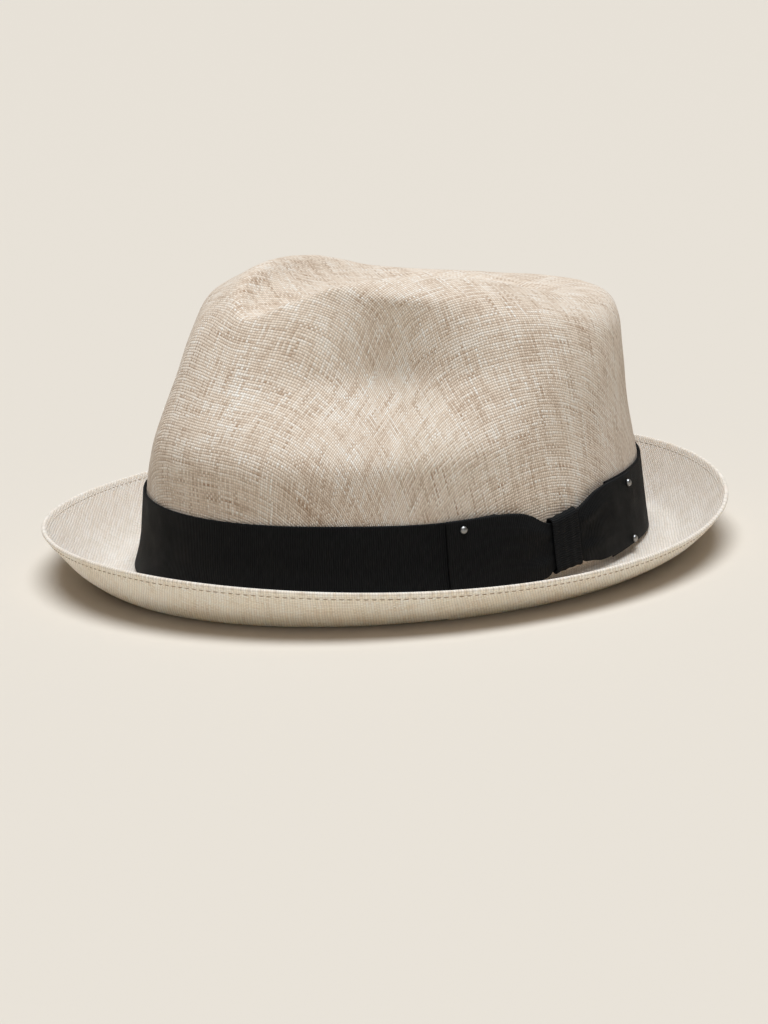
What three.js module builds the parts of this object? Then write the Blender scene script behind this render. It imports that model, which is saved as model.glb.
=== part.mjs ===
// A trilby of stiff woven cloth: a blocked crown with a teardrop crease and two front pinches, a brim turned up
// all round, a ribbon band, and a flat bow with a knot and four studs on the wearer's left.
// Lengths are millimetres. +Z is up, the hat's front is towards -Y, and the wearer's left is towards +X.
// The origin is the middle of the hat's footprint, on the surface that the brim rests on.
import * as THREE from 'three';

// Crown: its plan at the foot is an oval round the wearer's head, measured outside.
const crownLength = 203;
const crownWidth = 169;
const crownHeight = 109;
const crownWall = 1.5;
const crownTaper = 2.6;

// Crease along the crown's top, and the two pinches beside its front.
const creaseDepth = 19;
const creaseFall = 16;
const pinchHead = 110;
const pinchLean = 0.12;
const pinchRounding = 5;

// Brim: how far it reaches out of the crown, and how high its rim stands over the band's foot.
const brimReach = { front: 35, back: 27.5, left: 34.5, right: 34.5 };
const brimRise = { front: 17.5, back: 18.4, left: 11.4, right: 13.8 };
const brimDip = 0.8;
const brimThickness = 2;
const rimThickness = 1.4;
const rimThinning = 0.69;
const brimFlattening = 0.4;
const hemBulge = 0.8;
const collarHeight = 9;
const bendRadius = 3;
const bendDrop = 0.3;

// Band, bow and knot, all of one ribbon.
const bandWidth = 29;
const ribbonThickness = 1;
const bandClearance = 0.4;
const bandFlare = { front: 2.2, back: 0, left: 1, right: 1.2 };
const bandOpening = 58;
const bandSink = 1.5;
const sinkPlace = -47;
const sinkSpread = 30;
const footLift = 1.6;
const liftPlace = 48;
const liftSpread = 26;
const bowCentre = 2;
const wingLength = 49.5;
const wingThickness = 1.4;
const wingPuff = 2.2;
const knotWidth = 13;
const knotCorner = 0.6;

// Studs, one at each outer corner of the wings.
const studDiameter = 2.8;
const studHeight = 1.3;
const studFromEnd = 6;
const studFromHead = 3.4;
const studFromFoot = 2;

// Clearance between pieces that touch.
const gap = 0.3;

// Steps of the facets.
const stepsAround = 60;
const stepsPerCrownRow = 2;
const stepsPerBrimRow = 2;
const bendSteps = 3;
const bowSteps = 26;
const acrossSteps = 4;
const knotSideSteps = 4;
const knotCornerSteps = 2;
const studSides = 12;

// Crown above the band, from the band's top to the middle of the crease. rise is the share of the way up to
// the crest, sink the share of the way down to the crease's floor. front, back and side are shares of the plan
// at the band's top, and nose is the share by which the front is narrower and the back wider.
const CROWN_ROWS = [
  { rise: 0.00, sink: 0.00, front: 1.00, back: 1.000, side: 1.000, nose: 0.000 },
  { rise: 0.30, sink: 0.00, front: 1.00, back: 0.972, side: 0.942, nose: 0.023 },
  { rise: 0.60, sink: 0.00, front: 0.91, back: 0.967, side: 0.897, nose: 0.063 },
  { rise: 0.83, sink: 0.00, front: 0.84, back: 0.973, side: 0.806, nose: 0.165 },
  { rise: 0.96, sink: 0.00, front: 0.79, back: 0.950, side: 0.602, nose: 0.385 },
  { rise: 1.00, sink: 0.00, front: 0.75, back: 0.760, side: 0.490, nose: 0.450 },
  { rise: 0.99, sink: 0.33, front: 0.67, back: 0.650, side: 0.395, nose: 0.430 },
  { rise: 0.98, sink: 0.65, front: 0.54, back: 0.530, side: 0.295, nose: 0.390 },
  { rise: 0.98, sink: 0.95, front: 0.38, back: 0.385, side: 0.190, nose: 0.320 },
  { rise: 0.98, sink: 1.00, front: 0.19, back: 0.200, side: 0.100, nose: 0.190 },
  { rise: 0.98, sink: 1.00, front: 0.00, back: 0.000, side: 0.000, nose: 0.000 },
];

// Pinches beside the front, where the wall is pressed in. bearing is degrees round from the front, reach is how
// far from the crown's axis it is pressed in to, foot and floor are the heights where that starts and is
// complete, and footSpread and headSpread are its widths in degrees at its bottom and top.
const PINCH_ROWS = [
  { bearing: 51, reach: 52, foot: 46, floor: 77, footSpread: 27, headSpread: 46 },
  { bearing: -57, reach: 66, foot: 29, floor: 75, footSpread: 26, headSpread: 26 },
];

// Crest height, as a share of the crown's height, every 30 degrees from the front to the back.
const CREST_ROWS = [
  { height: 0.880 }, { height: 0.928 }, { height: 0.987 }, { height: 0.959 },
  { height: 0.865 }, { height: 0.821 }, { height: 0.815 },
];

// Brim from the bend to the rim. out is a share of the reach, lift of the rim's rise, and sag of the dip.
const BRIM_ROWS = [
  { out: 0.05, lift: 0.00, sag: 0.40 },
  { out: 0.19, lift: 0.00, sag: 1.00 },
  { out: 0.43, lift: 0.00, sag: 1.00 },
  { out: 0.69, lift: 0.31, sag: 0.30 },
  { out: 0.88, lift: 0.70, sag: 0.00 },
  { out: 1.00, lift: 1.00, sag: 0.00 },
];

// Band from foot to top. up is a share of its width, and flare a share of how far its foot spreads.
const BAND_ROWS = [
  { up: 0.00, flare: 1.00 },
  { up: 0.10, flare: 0.70 },
  { up: 0.24, flare: 0.30 },
  { up: 0.42, flare: 0.06 },
  { up: 1.00, flare: 0.00 },
];

// Bow from the front wing's end to the back wing's end. along is a share of a wing's length, counted from the
// knot's middle, foot and head are shares of the band's width, puff is a share of the wing's puff, and pleat is
// how deep the fold along the middle is, as a share of that puff.
const BOW_ROWS = [
  { along: -1.00, foot: 0.000, head: 0.965, puff: 0.00, pleat: 0.0 },
  { along: -0.75, foot: 0.005, head: 0.965, puff: 0.20, pleat: 0.0 },
  { along: -0.52, foot: 0.015, head: 0.955, puff: 0.50, pleat: 0.2 },
  { along: -0.38, foot: 0.030, head: 0.920, puff: 0.85, pleat: 0.5 },
  { along: -0.29, foot: 0.050, head: 0.862, puff: 1.00, pleat: 0.8 },
  { along: -0.20, foot: 0.080, head: 0.770, puff: 0.75, pleat: 0.9 },
  { along: -0.12, foot: 0.160, head: 0.722, puff: 0.00, pleat: 0.0 },
  { along: 0.00, foot: 0.178, head: 0.752, puff: 0.00, pleat: 0.0 },
  { along: 0.12, foot: 0.186, head: 0.785, puff: 0.00, pleat: 0.0 },
  { along: 0.20, foot: 0.135, head: 0.835, puff: 0.75, pleat: 0.9 },
  { along: 0.29, foot: 0.115, head: 0.890, puff: 1.00, pleat: 0.8 },
  { along: 0.38, foot: 0.085, head: 0.950, puff: 0.85, pleat: 0.5 },
  { along: 0.52, foot: 0.080, head: 0.990, puff: 0.50, pleat: 0.2 },
  { along: 0.75, foot: 0.085, head: 1.000, puff: 0.20, pleat: 0.0 },
  { along: 1.00, foot: 0.100, head: 1.000, puff: 0.00, pleat: 0.0 },
];

// Materials.
const cloth = { color: 0xc8b69b, roughness: 0.88, metalness: 0 };
const brimCloth = { color: 0xd6c8b3, roughness: 0.88, metalness: 0 };
const ribbon = { color: 0x18181a, roughness: 0.62, metalness: 0 };
const steel = { color: 0xb9bab8, roughness: 0.28, metalness: 1 };

// Smooth value of every column between the rows of a table, at a position counted in rows.
// A mirrored table is level at both of its ends.
function smoothRow(rows, position, mirrored = false) {
  const last = rows.length - 1;
  const start = Math.min(Math.max(Math.floor(position), 0), last - 1);
  const share = position - start;
  const value = (index, column) => {
    if (index < 0) {
      return mirrored ? rows[1][column] : 2 * rows[0][column] - rows[1][column];
    }
    if (index > last) {
      return mirrored ? rows[last - 1][column] : 2 * rows[last][column] - rows[last - 1][column];
    }
    return rows[index][column];
  };
  const result = {};
  for (const column of Object.keys(rows[0])) {
    const [a, b, c, d] = [-1, 0, 1, 2].map((step) => value(start + step, column));
    result[column] = 0.5 * (2 * b + (c - a) * share + (2 * a - 5 * b + 4 * c - d) * share ** 2
      + (3 * b - a - 3 * c + d) * share ** 3);
  }
  return result;
}

// Straight value of one column at a place along another column.
function straightValue(rows, along, place, column) {
  const next = Math.max(1, rows.findIndex((row) => row[along] >= place));
  const [low, high] = [rows[next - 1], rows[next]];
  const share = (place - low[along]) / (high[along] - low[along]);
  return low[column] + share * (high[column] - low[column]);
}

// Even steps from 0 to 1, both ends included.
function evenSteps(count) {
  return Array.from({ length: count + 1 }, (_, index) => index / count);
}

// A size with a value of its own at the hat's front, back, left and right, smooth in between.
function sizeAround(size, angle) {
  const middle = (size.front + size.back) / 2;
  const sides = (size.left + size.right) / 2;
  const lengthwise = (size.back - size.front) / 2 * Math.sin(angle);
  const crosswise = (size.left - size.right) / 2 * Math.cos(angle);
  return middle + lengthwise + crosswise + (sides - middle) * Math.cos(angle) ** 2;
}

// A point outside the crown's foot oval by an offset square to it, at a height over the band's foot.
// The angle is 0 at the wearer's left and a quarter turn at the back.
function ovalPoint(angle, offset, height) {
  const halfLength = crownLength / 2;
  const halfWidth = crownWidth / 2;
  const normal = new THREE.Vector2(halfLength * Math.cos(angle), halfWidth * Math.sin(angle)).normalize();
  return new THREE.Vector3(
    halfWidth * Math.cos(angle) + offset * normal.x,
    halfLength * Math.sin(angle) + offset * normal.y,
    height,
  );
}

// How far the crown's lower wall leans in at a height over the band's foot.
function wallOffset(height) {
  return -crownTaper * height / bandWidth;
}

// Geometry of a closed body from its points and its triangles, with its faces turned outwards.
function closedBody(points, triangles) {
  const volume = triangles.reduce((sum, [a, b, c]) => (
    sum + points[a].dot(new THREE.Vector3().crossVectors(points[b], points[c]))), 0);
  const outward = volume > 0 ? triangles : triangles.map(([a, b, c]) => [a, c, b]);
  const geometry = new THREE.BufferGeometry().setFromPoints(points);
  geometry.setIndex(outward.flat());
  geometry.computeVertexNormals();
  return geometry;
}

// Triangles between two loops of points of the same length.
function loopBridge(first, second, count) {
  const triangles = [];
  for (let index = 0; index < count; index += 1) {
    const next = (index + 1) % count;
    triangles.push([first + index, first + next, second + next]);
    triangles.push([first + index, second + next, second + index]);
  }
  return triangles;
}

// Closed ring: a list of sections round it, each a closed loop of points.
function ringBody(sections) {
  const count = sections[0].length;
  const triangles = sections.flatMap((_, index) => (
    loopBridge(index * count, ((index + 1) % sections.length) * count, count)));
  return closedBody(sections.flat(), triangles);
}

// Closed strip: sections from one end to the other, each an outer line of points followed by the inner line
// taken backwards, so that both ends are closed by quads between the two lines.
function stripBody(sections) {
  const count = sections[0].length;
  const triangles = [];
  for (let index = 0; index + 1 < sections.length; index += 1) {
    triangles.push(...loopBridge(index * count, (index + 1) * count, count));
  }
  const lastStart = (sections.length - 1) * count;
  for (let index = 0; index < count / 2 - 1; index += 1) {
    const opposite = count - 1 - index;
    triangles.push([index, opposite, opposite - 1], [index, opposite - 1, index + 1]);
    triangles.push([lastStart + index, lastStart + opposite - 1, lastStart + opposite]);
    triangles.push([lastStart + index, lastStart + index + 1, lastStart + opposite - 1]);
  }
  return closedBody(sections.flat(), triangles);
}

// Height of the crest over the band's foot, in the direction of an angle.
function crestHeight(angle) {
  const bearing = Math.acos(-Math.sin(angle)) / Math.PI;
  return crownHeight * smoothRow(CREST_ROWS, bearing * (CREST_ROWS.length - 1), true).height;
}

// Height of the crease's floor, which falls towards the back.
function creaseFloor(y) {
  return crownHeight - creaseDepth - creaseFall * y / crownLength;
}

// How far a pinch presses in a wall point that stands a reach outside the crown's axis, in a direction.
function pressed(row, reach, bearing, z) {
  const excess = reach - row.reach - pinchLean * (pinchHead - z);
  const rounded = THREE.MathUtils.clamp(excess + pinchRounding, 0, 2 * pinchRounding) ** 2 / (4 * pinchRounding);
  const depth = rounded + Math.max(excess - pinchRounding, 0);
  const upward = THREE.MathUtils.smoothstep(z, row.foot, pinchHead);
  const spread = THREE.MathUtils.lerp(row.footSpread, row.headSpread, upward);
  const around = Math.exp(-(((bearing - row.bearing) / spread) ** 2));
  return depth * around * THREE.MathUtils.smoothstep(z, row.foot, row.floor);
}

// The point after the two front pinches have pressed the wall in towards the crown's axis.
function pinched(point) {
  const reach = Math.hypot(point.x, point.y);
  const bearing = THREE.MathUtils.radToDeg(Math.atan2(point.x, -point.y));
  let push = 0;
  for (const row of PINCH_ROWS) {
    push += pressed(row, reach, bearing, point.z);
  }
  const scale = reach > 0 ? 1 - push / reach : 1;
  return new THREE.Vector3(point.x * scale, point.y * scale, point.z);
}

// A point of the crown's outer face above the band, at a position counted in rows of its table.
function crownPoint(angle, position) {
  const row = smoothRow(CROWN_ROWS, position);
  const foot = ovalPoint(angle, -crownTaper, bandWidth);
  const back = Math.sin(angle);
  const x = foot.x * row.side * (1 + row.nose * back);
  const y = foot.y * ((row.back + row.front) / 2 + (row.back - row.front) / 2 * back);
  const wall = bandWidth + row.rise * (crestHeight(angle) - bandWidth);
  const z = wall * (1 - row.sink) + creaseFloor(y) * row.sink;
  return pinched(new THREE.Vector3(x, y, z));
}

// Height of the middle of the bend between the collar and the brim, and of the crown's foot just above it.
const bendMiddle = bendRadius - bendDrop;
const crownFoot = bendMiddle - Math.sqrt(bendRadius ** 2 - (bendRadius - gap) ** 2) + 1.5 * gap;

// Crown: the outer face from foot to crease, and the inner face one wall inside it.
function crownGeometry() {
  const angles = evenSteps(stepsAround).slice(0, -1).map((share) => share * 2 * Math.PI);
  const lower = [crownFoot, bandWidth / 2].map((height) => (
    angles.map((angle) => ovalPoint(angle, wallOffset(height), height))));
  const lastRow = CROWN_ROWS.length - 1;
  const positions = evenSteps(lastRow * stepsPerCrownRow).map((share) => share * lastRow);
  const upper = positions.filter((position) => position <= lastRow - 1).map((position) => (
    angles.map((angle) => crownPoint(angle, position))));
  const rings = [...lower, ...upper];
  const outer = [...rings.flat(), crownPoint(0, lastRow)];
  const skin = [];
  for (let ring = 0; ring + 1 < rings.length; ring += 1) {
    skin.push(...loopBridge(ring * stepsAround, (ring + 1) * stepsAround, stepsAround));
  }
  const apex = outer.length - 1;
  for (let index = 0; index < stepsAround; index += 1) {
    skin.push([apex - stepsAround + index, apex - stepsAround + (index + 1) % stepsAround, apex]);
  }
  const face = new THREE.BufferGeometry().setFromPoints(outer);
  face.setIndex(skin.flat());
  face.computeVertexNormals();
  const normals = face.getAttribute('normal');
  const inner = outer.map((point, index) => (
    point.clone().addScaledVector(new THREE.Vector3().fromBufferAttribute(normals, index), -crownWall)));
  const lining = skin.map(([a, b, c]) => [a + outer.length, c + outer.length, b + outer.length]);
  const foot = loopBridge(outer.length, 0, stepsAround);
  return closedBody([...outer, ...inner], [...skin, ...lining, ...foot]);
}

// The brim's upper face as offsets and heights, from the collar's top, round the bend and out to the rim.
function brimUpperLine(angle) {
  const seam = -crownWall - gap;
  const line = [
    new THREE.Vector2(seam + wallOffset(collarHeight), collarHeight),
  ];
  for (const share of evenSteps(bendSteps)) {
    const turn = share * Math.PI / 2;
    line.push(new THREE.Vector2(
      seam + wallOffset(bendMiddle) + bendRadius * (1 - Math.cos(turn)),
      bendMiddle - bendRadius * Math.sin(turn),
    ));
  }
  const lastRow = BRIM_ROWS.length - 1;
  for (const share of evenSteps(lastRow * stepsPerBrimRow).slice(1)) {
    const row = smoothRow(BRIM_ROWS, share * lastRow);
    line.push(new THREE.Vector2(
      row.out * sizeAround(brimReach, angle),
      row.lift * sizeAround(brimRise, angle) - Math.min(row.sag, 1) * brimDip,
    ));
  }
  return line;
}

// The brim's lower face, one thickness under the upper one, thinner at the rim and pressed flat where it rests.
function brimLowerLine(upper) {
  const rest = -brimDip - brimThickness;
  const rimOffset = upper[upper.length - 1].x;
  return upper.map((point, index) => {
    const thinning = THREE.MathUtils.smoothstep(point.x, rimOffset * rimThinning, rimOffset);
    const thickness = THREE.MathUtils.lerp(brimThickness, rimThickness, thinning);
    const before = upper[Math.max(index - 1, 0)];
    const after = upper[Math.min(index + 1, upper.length - 1)];
    const along = after.clone().sub(before).normalize();
    const offset = point.x + along.y * thickness;
    const height = point.y - along.x * thickness;
    return new THREE.Vector2(offset, height < rest + brimFlattening ? rest : height);
  });
}

// Brim: a closed ring whose rim is rounded over a folded hem.
function brimGeometry() {
  const sections = evenSteps(stepsAround).slice(0, -1).map((share) => {
    const angle = share * 2 * Math.PI;
    const upper = brimUpperLine(angle);
    const lower = brimLowerLine(upper);
    const [beforeRim, rim] = upper.slice(-2);
    const hem = rim.clone().add(lower[lower.length - 1]).multiplyScalar(0.5);
    hem.addScaledVector(rim.clone().sub(beforeRim).normalize(), hemBulge);
    const loop = [...upper, hem, ...lower.reverse()];
    return loop.map((point) => ovalPoint(angle, point.x, point.y));
  });
  return ringBody(sections);
}

// The oval's angle at a length measured along it from the wearer's left towards the back.
function angleAt(length) {
  const stepLength = Math.sign(length) * 0.5;
  const halfLength = crownLength / 2;
  const halfWidth = crownWidth / 2;
  let angle = 0;
  for (let walked = 0; Math.abs(walked) < Math.abs(length); walked += stepLength) {
    const part = Math.abs(length - walked) < Math.abs(stepLength) ? length - walked : stepLength;
    angle += part / Math.hypot(halfWidth * Math.sin(angle), halfLength * Math.cos(angle));
  }
  return angle;
}

// A point outside the band's inner face, by the oval's angle, the height and the distance from that face.
function ribbonPoint(angle, height, distance) {
  const up = THREE.MathUtils.clamp(height / bandWidth, 0, 1);
  const flare = sizeAround(bandFlare, angle) * straightValue(BAND_ROWS, 'up', up, 'flare');
  return ovalPoint(angle, wallOffset(height) + bandClearance + flare + distance, height);
}

// Share of a soft hump round the oval at an angle, by the hump's place and spread as lengths along the oval.
function hump(angle, place, spread) {
  const radius = (crownLength + crownWidth) / 4;
  const away = Math.atan2(Math.sin(angle - angleAt(place)), Math.cos(angle - angleAt(place)));
  return Math.exp(-((away * radius / spread) ** 2));
}

// Band: an open ribbon whose two ends lie under the bow's wings. Its top is drawn down in front of the bow, and
// its foot is drawn up behind it.
function bandGeometry() {
  const start = angleAt(bowCentre + bandOpening / 2);
  const end = 2 * Math.PI + angleAt(bowCentre - bandOpening / 2);
  const sections = evenSteps(stepsAround).map((share) => {
    const angle = start + share * (end - start);
    const foot = footLift * hump(angle, bowCentre + liftPlace, liftSpread);
    const top = bandWidth - bandSink * hump(angle, bowCentre + sinkPlace, sinkSpread);
    const heights = BAND_ROWS.map((row) => foot + row.up * (top - foot));
    const outer = heights.map((height) => ribbonPoint(angle, height, ribbonThickness));
    const inner = heights.map((height) => ribbonPoint(angle, height, 0));
    return [...outer, ...inner.reverse()];
  });
  return stripBody(sections);
}

// The bow's lower layer starts one clearance outside the band.
const bowSeat = ribbonThickness + gap;

// A row of the bow's table at a signed length from the knot's middle.
function bowRow(length) {
  const along = THREE.MathUtils.clamp(length / wingLength, -1, 1);
  const next = Math.max(1, BOW_ROWS.findIndex((row) => row.along >= along));
  const [low, high] = [BOW_ROWS[next - 1], BOW_ROWS[next]];
  return smoothRow(BOW_ROWS, next - 1 + (along - low.along) / (high.along - low.along));
}

// A point of the bow at a length from the knot's middle, a share of the way up it, and a depth through it.
function bowPoint(length, share, depth) {
  const row = bowRow(length);
  const height = bandWidth * (row.foot + share * (row.head - row.foot));
  const fold = row.pleat * Math.exp(-(((share - 0.5) / 0.16) ** 2));
  const bulge = wingPuff * row.puff * (Math.sin(Math.PI * share) - fold);
  return ribbonPoint(angleAt(bowCentre + length), height, bowSeat + Math.max(bulge, 0) + depth);
}

// Bow: one ribbon, pinched under the knot, with a wing to the front and a wing to the back.
function bowGeometry() {
  const shares = evenSteps(acrossSteps);
  const sections = evenSteps(bowSteps).map((step) => {
    const length = (2 * step - 1) * wingLength;
    const outer = shares.map((share) => bowPoint(length, share, wingThickness));
    const inner = shares.map((share) => bowPoint(length, share, 0));
    return [...outer, ...inner.reverse()];
  });
  return stripBody(sections);
}

// The knot's outline round the bow: heights and depths from the bow's middle, as a rounded rectangle.
function knotOutline(halfHeight, halfDepth, corner) {
  const outline = [];
  for (const side of [1, -1]) {
    const straight = halfHeight - corner;
    for (const share of evenSteps(knotSideSteps)) {
      outline.push(new THREE.Vector2(side * straight * (2 * share - 1), side * halfDepth));
    }
    for (const share of evenSteps(2 * knotCornerSteps).slice(1, -1)) {
      const turn = share * Math.PI;
      outline.push(new THREE.Vector2(
        side * (straight + corner * Math.sin(turn)),
        side * halfDepth * Math.cos(turn),
      ));
    }
  }
  return outline;
}

// Knot: a ribbon loop round the bow's pinched middle, as high as the bow is at each side of it.
function knotGeometry() {
  const halfHeight = (row) => bandWidth * (row.head - row.foot) / 2;
  const middleHeight = halfHeight(bowRow(0));
  const centreDepth = bowSeat + wingThickness / 2;
  const corner = knotCorner + gap;
  const inside = knotOutline(middleHeight + corner, wingThickness / 2 + gap, corner);
  const outside = knotOutline(
    middleHeight + corner + ribbonThickness,
    wingThickness / 2 + gap + ribbonThickness,
    corner + ribbonThickness,
  );
  const place = (point, length) => {
    const row = bowRow(length);
    const stretch = Math.sign(point.x) * (halfHeight(row) - middleHeight);
    const height = bandWidth * (row.head + row.foot) / 2 + point.x + stretch;
    return ribbonPoint(angleAt(bowCentre + length), height, centreDepth + point.y);
  };
  const sections = outside.map((outer, index) => [
    place(outer, -knotWidth / 2),
    place(outer, 0),
    place(outer, knotWidth / 2),
    place(inside[index], knotWidth / 2),
    place(inside[index], 0),
    place(inside[index], -knotWidth / 2),
  ]);
  return ringBody(sections);
}

// Stud: a low dome on a flat back, turned about its own axis.
function studGeometry() {
  const radius = studDiameter / 2;
  const wall = studHeight / 4;
  const profile = [new THREE.Vector2(0, 0), new THREE.Vector2(radius, 0)];
  for (const share of evenSteps(3)) {
    const turn = share * Math.PI / 2;
    profile.push(new THREE.Vector2(radius * Math.cos(turn), wall + (studHeight - wall) * Math.sin(turn)));
  }
  return new THREE.LatheGeometry(profile, studSides);
}

// A named mesh with a standard material.
function piece(name, geometry, finish) {
  const mesh = new THREE.Mesh(geometry, new THREE.MeshStandardMaterial(finish));
  mesh.name = name;
  return mesh;
}

// A stud seated on a wing, at a length from the knot's middle and a share of the way up the wing.
function placedStud(name, length, share) {
  const nudge = 0.02;
  const seat = bowPoint(length, share, wingThickness);
  const alongBow = bowPoint(length + 1, share, wingThickness).sub(seat);
  const upBow = bowPoint(length, share + nudge, wingThickness).sub(seat);
  const outward = alongBow.cross(upBow).normalize();
  const mesh = piece(name, studGeometry(), steel);
  mesh.quaternion.setFromUnitVectors(new THREE.Vector3(0, 1, 0), outward);
  mesh.position.copy(seat).addScaledVector(outward, gap);
  return mesh;
}

// The four studs, numbered from the front wing's lower corner to the back wing's upper corner.
function studs() {
  const meshes = [];
  for (const end of [-1, 1]) {
    const length = end * (wingLength - studFromEnd);
    const row = bowRow(length);
    const wing = bandWidth * (row.head - row.foot);
    for (const share of [studFromFoot / wing, 1 - studFromHead / wing]) {
      meshes.push(placedStud(`stud_${meshes.length + 1}`, length, share));
    }
  }
  return meshes;
}

const brim = piece('brim', brimGeometry(), brimCloth);
const brimBox = new THREE.Box3().setFromObject(brim);

const hat = new THREE.Group();
hat.add(
  piece('crown', crownGeometry(), cloth),
  brim,
  piece('band', bandGeometry(), ribbon),
  piece('bow', bowGeometry(), ribbon),
  piece('bow_knot', knotGeometry(), ribbon),
  ...studs(),
);
hat.position.set(0, -(brimBox.min.y + brimBox.max.y) / 2, -brimBox.min.z);

export default hat;
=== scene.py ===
import math

import bmesh
import bpy
import numpy as np
from mathutils import Matrix, Vector


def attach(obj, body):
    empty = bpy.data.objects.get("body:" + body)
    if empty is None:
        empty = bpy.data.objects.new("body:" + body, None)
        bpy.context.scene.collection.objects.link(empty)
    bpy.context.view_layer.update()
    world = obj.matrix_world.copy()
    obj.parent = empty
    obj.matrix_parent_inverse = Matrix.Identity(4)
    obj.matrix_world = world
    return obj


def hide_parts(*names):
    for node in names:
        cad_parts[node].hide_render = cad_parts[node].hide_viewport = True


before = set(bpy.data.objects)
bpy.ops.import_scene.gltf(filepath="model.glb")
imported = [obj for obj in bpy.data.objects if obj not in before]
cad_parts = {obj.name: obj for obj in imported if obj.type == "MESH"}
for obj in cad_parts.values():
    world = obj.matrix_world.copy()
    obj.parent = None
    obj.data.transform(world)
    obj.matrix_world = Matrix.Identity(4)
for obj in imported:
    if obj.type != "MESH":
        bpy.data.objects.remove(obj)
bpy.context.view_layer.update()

MM = 0.001
TURN = 2 * math.pi


def table(columns, *rows):
    """A table's columns by name."""
    return dict(zip(columns.split(), np.array(rows, float).T))


def table_rows(columns):
    """A table's rows, each with its values by name."""
    return [dict(zip(columns, row)) for row in zip(*columns.values())]


# Crown.
CROWN_LENGTH = 203 * MM
CROWN_WIDTH = 169 * MM
CROWN_HEIGHT = 109 * MM
CROWN_WALL = 1.5 * MM
CROWN_TAPER = 2.6 * MM
CREASE_DEPTH = 19 * MM
CREASE_FALL = 16 * MM
PINCH_HEAD = 110 * MM
PINCH_LEAN = 0.12
PINCH_ROUNDING = 5 * MM

# Brim.
BRIM_REACH = {"front": 35 * MM, "back": 27.5 * MM, "left": 34.5 * MM, "right": 34.5 * MM}
BRIM_RISE = {"front": 17.5 * MM, "back": 18.4 * MM, "left": 11.4 * MM, "right": 13.8 * MM}
BRIM_DIP = 0.8 * MM
BRIM_THICKNESS = 2 * MM
RIM_THICKNESS = 1.4 * MM
RIM_THINNING = 0.69
BRIM_FLATTENING = 0.4 * MM
HEM_BULGE = 0.8 * MM
HEM_WIDTH = 5.4 * MM
HEM_PROUD = 0.25 * MM
HEM_STEP = 0.6 * MM
COLLAR_HEIGHT = 9 * MM
BEND_RADIUS = 3 * MM
BEND_DROP = 0.3 * MM

# Band, bow and knot, all of one ribbon.
BAND_WIDTH = 29 * MM
RIBBON_THICKNESS = 1 * MM
BAND_CLEARANCE = 0.4 * MM
BAND_FLARE = {"front": 2.2 * MM, "back": 0, "left": 1 * MM, "right": 1.2 * MM}
BAND_OPENING = 58 * MM
BAND_SINK = 1.5 * MM
SINK_PLACE = -47 * MM
SINK_SPREAD = 30 * MM
FOOT_LIFT = 1.6 * MM
LIFT_PLACE = 48 * MM
LIFT_SPREAD = 26 * MM
BOW_CENTRE = 2 * MM
WING_LENGTH = 49.5 * MM
WING_THICKNESS = 1.4 * MM
WING_PUFF = 2.2 * MM
PLEAT_WIDTH = 0.16
GATHER_DEPTH = 0.35 * MM
GATHER_PLACE = 15 * MM
GATHER_REACH = 9 * MM
GATHER_COUNT = 3.5
KNOT_WIDTH = 13 * MM
KNOT_CORNER = 0.6 * MM
FLUTE_DEPTH = 0.3
FLUTE_COUNT = 3

# Studs. The bevel is a share of the diameter, and the nudge the share of the wing's height over which the
# wing's slope is found.
STUD_DIAMETER = 2.8 * MM
STUD_HEIGHT = 1.3 * MM
STUD_RIM = STUD_HEIGHT / 4
STUD_FROM_END = 6 * MM
STUD_FROM_HEAD = 3.4 * MM
STUD_FROM_FOOT = 2 * MM
STUD_BEVEL = 0.04
STUD_NUDGE = 0.02

GAP = 0.3 * MM

# Stitching along the brim's hem. Its groove is shallower on the upper face, by a share. A stitch's arch,
# how deep it is sunk and the width left at its tips are shares of its radius. The nudge is the angle, in
# radians, to either side of a stitch that gives its direction.
STITCH_FROM_RIM = 2 * MM
STITCH_PITCH = 2.8 * MM
STITCH_LENGTH = 2 * MM
STITCH_RADIUS = 0.2 * MM
STITCH_GROOVE = 0.25 * MM
UPPER_GROOVE = 0.3
GROOVE_WIDTH = 0.5 * MM
STITCH_ARCH = 0.9
STITCH_SUNK = 0.35
STITCH_TIP = 0.2
STITCH_NUDGE = 0.002

# Soft unevenness of the crown's wall.
UNEVENNESS = 0.12 * MM
UNEVEN_LENGTH = 17 * MM

# Linen's threads. They wander sideways by a share of their pitch, over a length, and stand out by the
# relief, more where they are pale. Their colour carries painted shade where they lie low, between the
# threads, and painted light where they lie high. HIGH_THREAD is the share of the relief from which they get
# no lighter.
THREAD_PITCH = 1 * MM
THREAD_RELIEF = 0.32 * MM
LEAST_SLUB = 0.6
SLUB_SPREAD = 0.5
WANDER_SHARE = 0.9
WANDER_LENGTH = 9 * MM
HIGH_THREAD = 0.85
# Factors on the colour: painted shade between the threads, and painted light on their tops.
PAINTED_SHADE_BETWEEN_THREADS = 0.66
PAINTED_LIGHT_ON_THREAD_TOPS = 1.06
BRIM_GRAIN_TURN = math.radians(45)

# Linen's tones. Each thread's comes from its own line of the noise and changes slowly along it, the weft's
# from another layer than the warp's, and broad patches of cloth differ a little too. The stops are where
# the cloth has its shadow, middle and light colours.
TONE_APART = 7.31
TONE_ALONG = 0.07
TONE_CONTRAST = 1.5
WEFT_LAYER = 5.0
PATCH_LENGTH = 26 * MM
PATCH_CONTRAST = 0.35
TONE_STOPS = (0.12, 0.5, 0.9)

# Upward parts of the directions from which cloth counts as facing down, and as not facing down at all, for
# the painted light on cloth that faces down.
FACES_DOWN = -0.35
FACES_OUT = 0.05

# How far light soaks through the brim's cloth, and how far each of its colours does.
GLOW_REACH = 4 * MM
GLOW_COLOUR = (1.0, 0.9, 0.8)

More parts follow.
